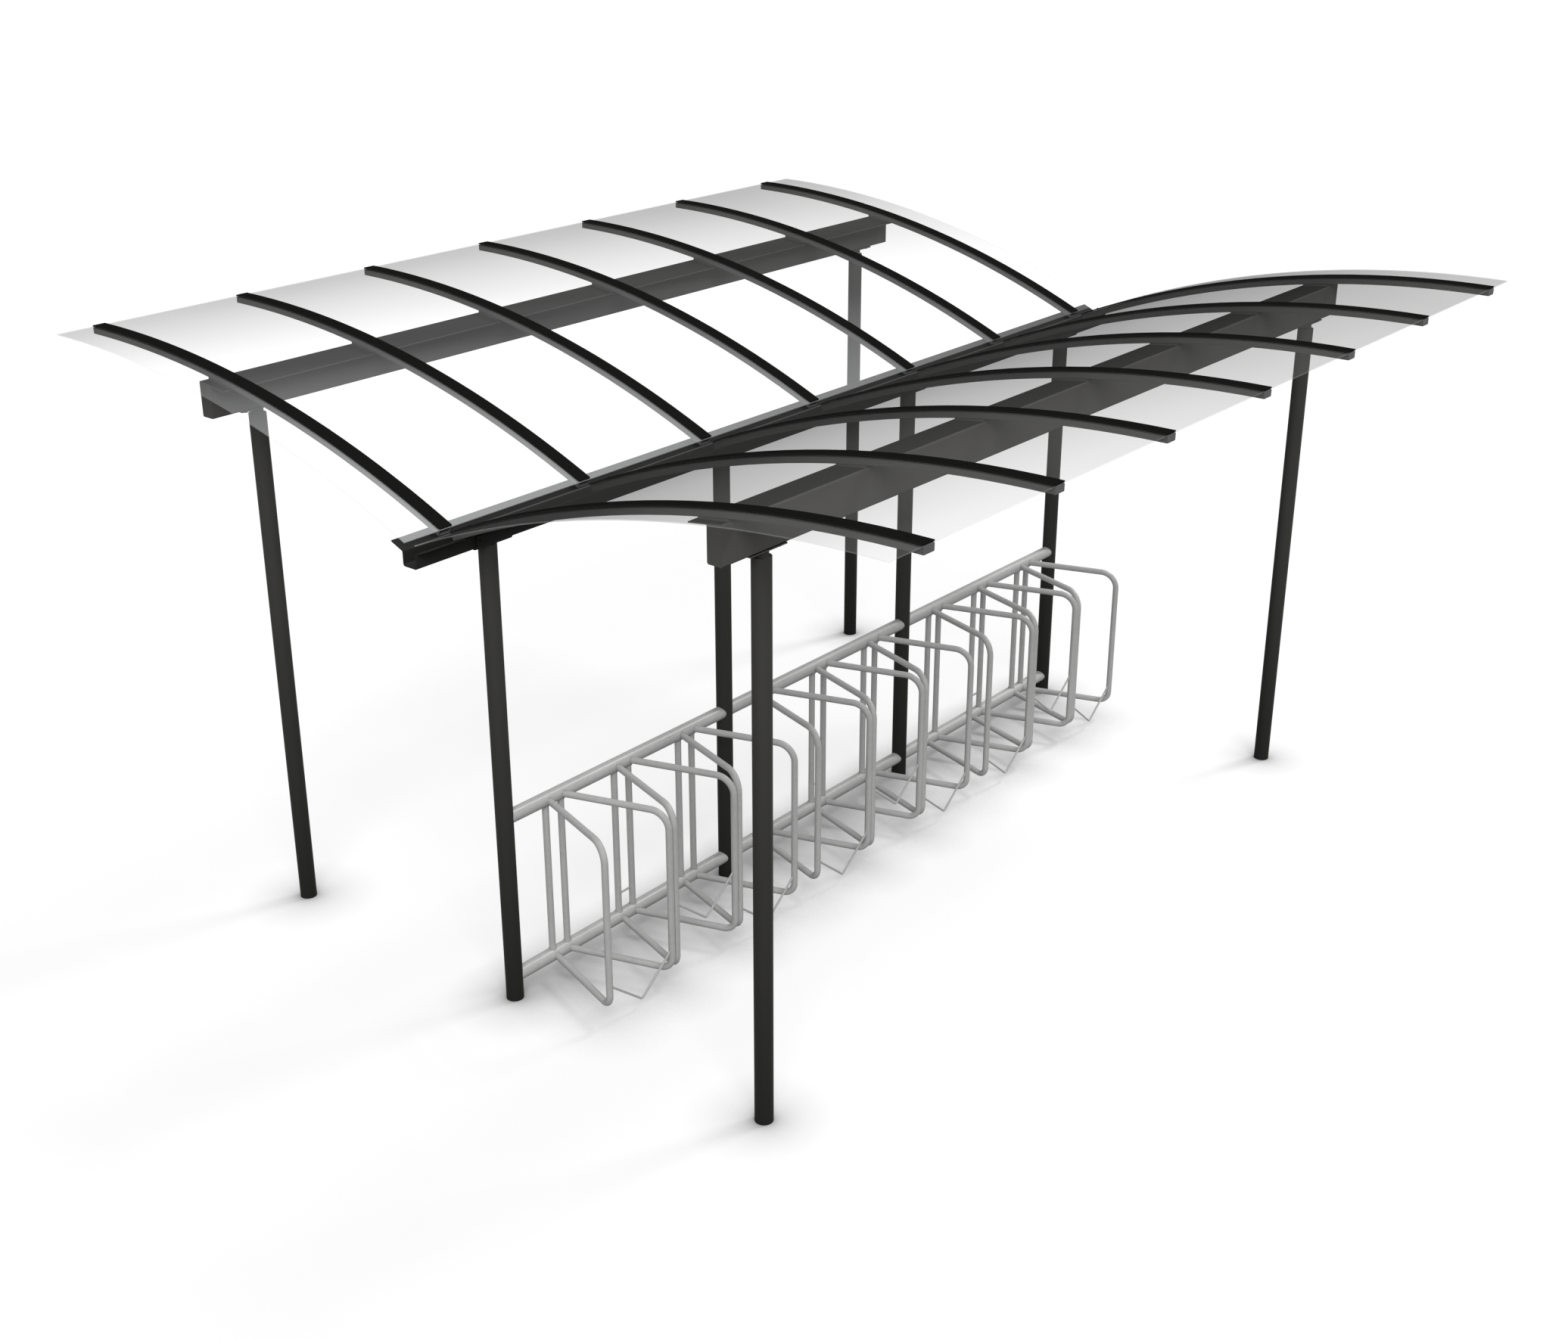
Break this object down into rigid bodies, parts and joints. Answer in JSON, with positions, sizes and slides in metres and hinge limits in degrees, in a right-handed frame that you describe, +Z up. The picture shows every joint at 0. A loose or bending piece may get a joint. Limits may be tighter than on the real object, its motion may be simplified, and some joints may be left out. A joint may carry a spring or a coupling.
{
  "type": "bicycle shelter",
  "caption": "Open bicycle shelter: two curved clear roof wings on steel ribs drain into a middle gutter, over a rack of wheel places fixed between the posts.",
  "frame": {"origin": "on the ground under the centre of the shelter, bottom centre of its bounding box", "axes": "+X along the valley gutter, +Y across it towards the left wing, away from the side the rack opens to, +Z up"},
  "size_m": [4.988, 4.454, 2.6439],
  "materials": {
    "charcoal": "satin",
    "galvanised": "satin",
    "black_strip": "satin",
    "clear_sheet": "clear, glossy"
  },
  "bodies": {
    "root": {"beam_saddles": "charcoal", "clamp_strips_left": "black_strip", "clamp_strips_right": "black_strip", "eaves_beam_end_caps": "charcoal", "eaves_beam_left": "charcoal", "eaves_beam_right": "charcoal", "gutter_saddles": "charcoal", "outer_post_left_1": "charcoal", "outer_post_left_2": "charcoal", "outer_post_right_1": "charcoal", "outer_post_right_2": "charcoal", "post_necks": "charcoal", "rack_bottom_rails": "galvanised", "rack_top_rails": "galvanised", "rib_left_1": "charcoal", "rib_left_2": "charcoal", "rib_left_3": "charcoal", "rib_left_4": "charcoal", "rib_left_5": "charcoal", "rib_left_6": "charcoal", "rib_left_7": "charcoal", "rib_packers": "charcoal", "rib_right_1": "charcoal", "rib_right_2": "charcoal", "rib_right_3": "charcoal", "rib_right_4": "charcoal", "rib_right_5": "charcoal", "rib_right_6": "charcoal", "rib_right_7": "charcoal", "roof_sheet_left": "clear_sheet", "roof_sheet_right": "clear_sheet", "valley_gutter": "charcoal", "valley_post_1": "charcoal", "valley_post_2": "charcoal", "valley_post_3": "charcoal", "valley_post_4": "charcoal", "wheel_place_1": "galvanised", "wheel_place_2": "galvanised", "wheel_place_3": "galvanised", "wheel_place_4": "galvanised", "wheel_place_5": "galvanised", "wheel_place_6": "galvanised", "wheel_place_7": "galvanised", "wheel_place_8": "galvanised", "wheel_place_9": "galvanised"}
  },
  "joints": []
}
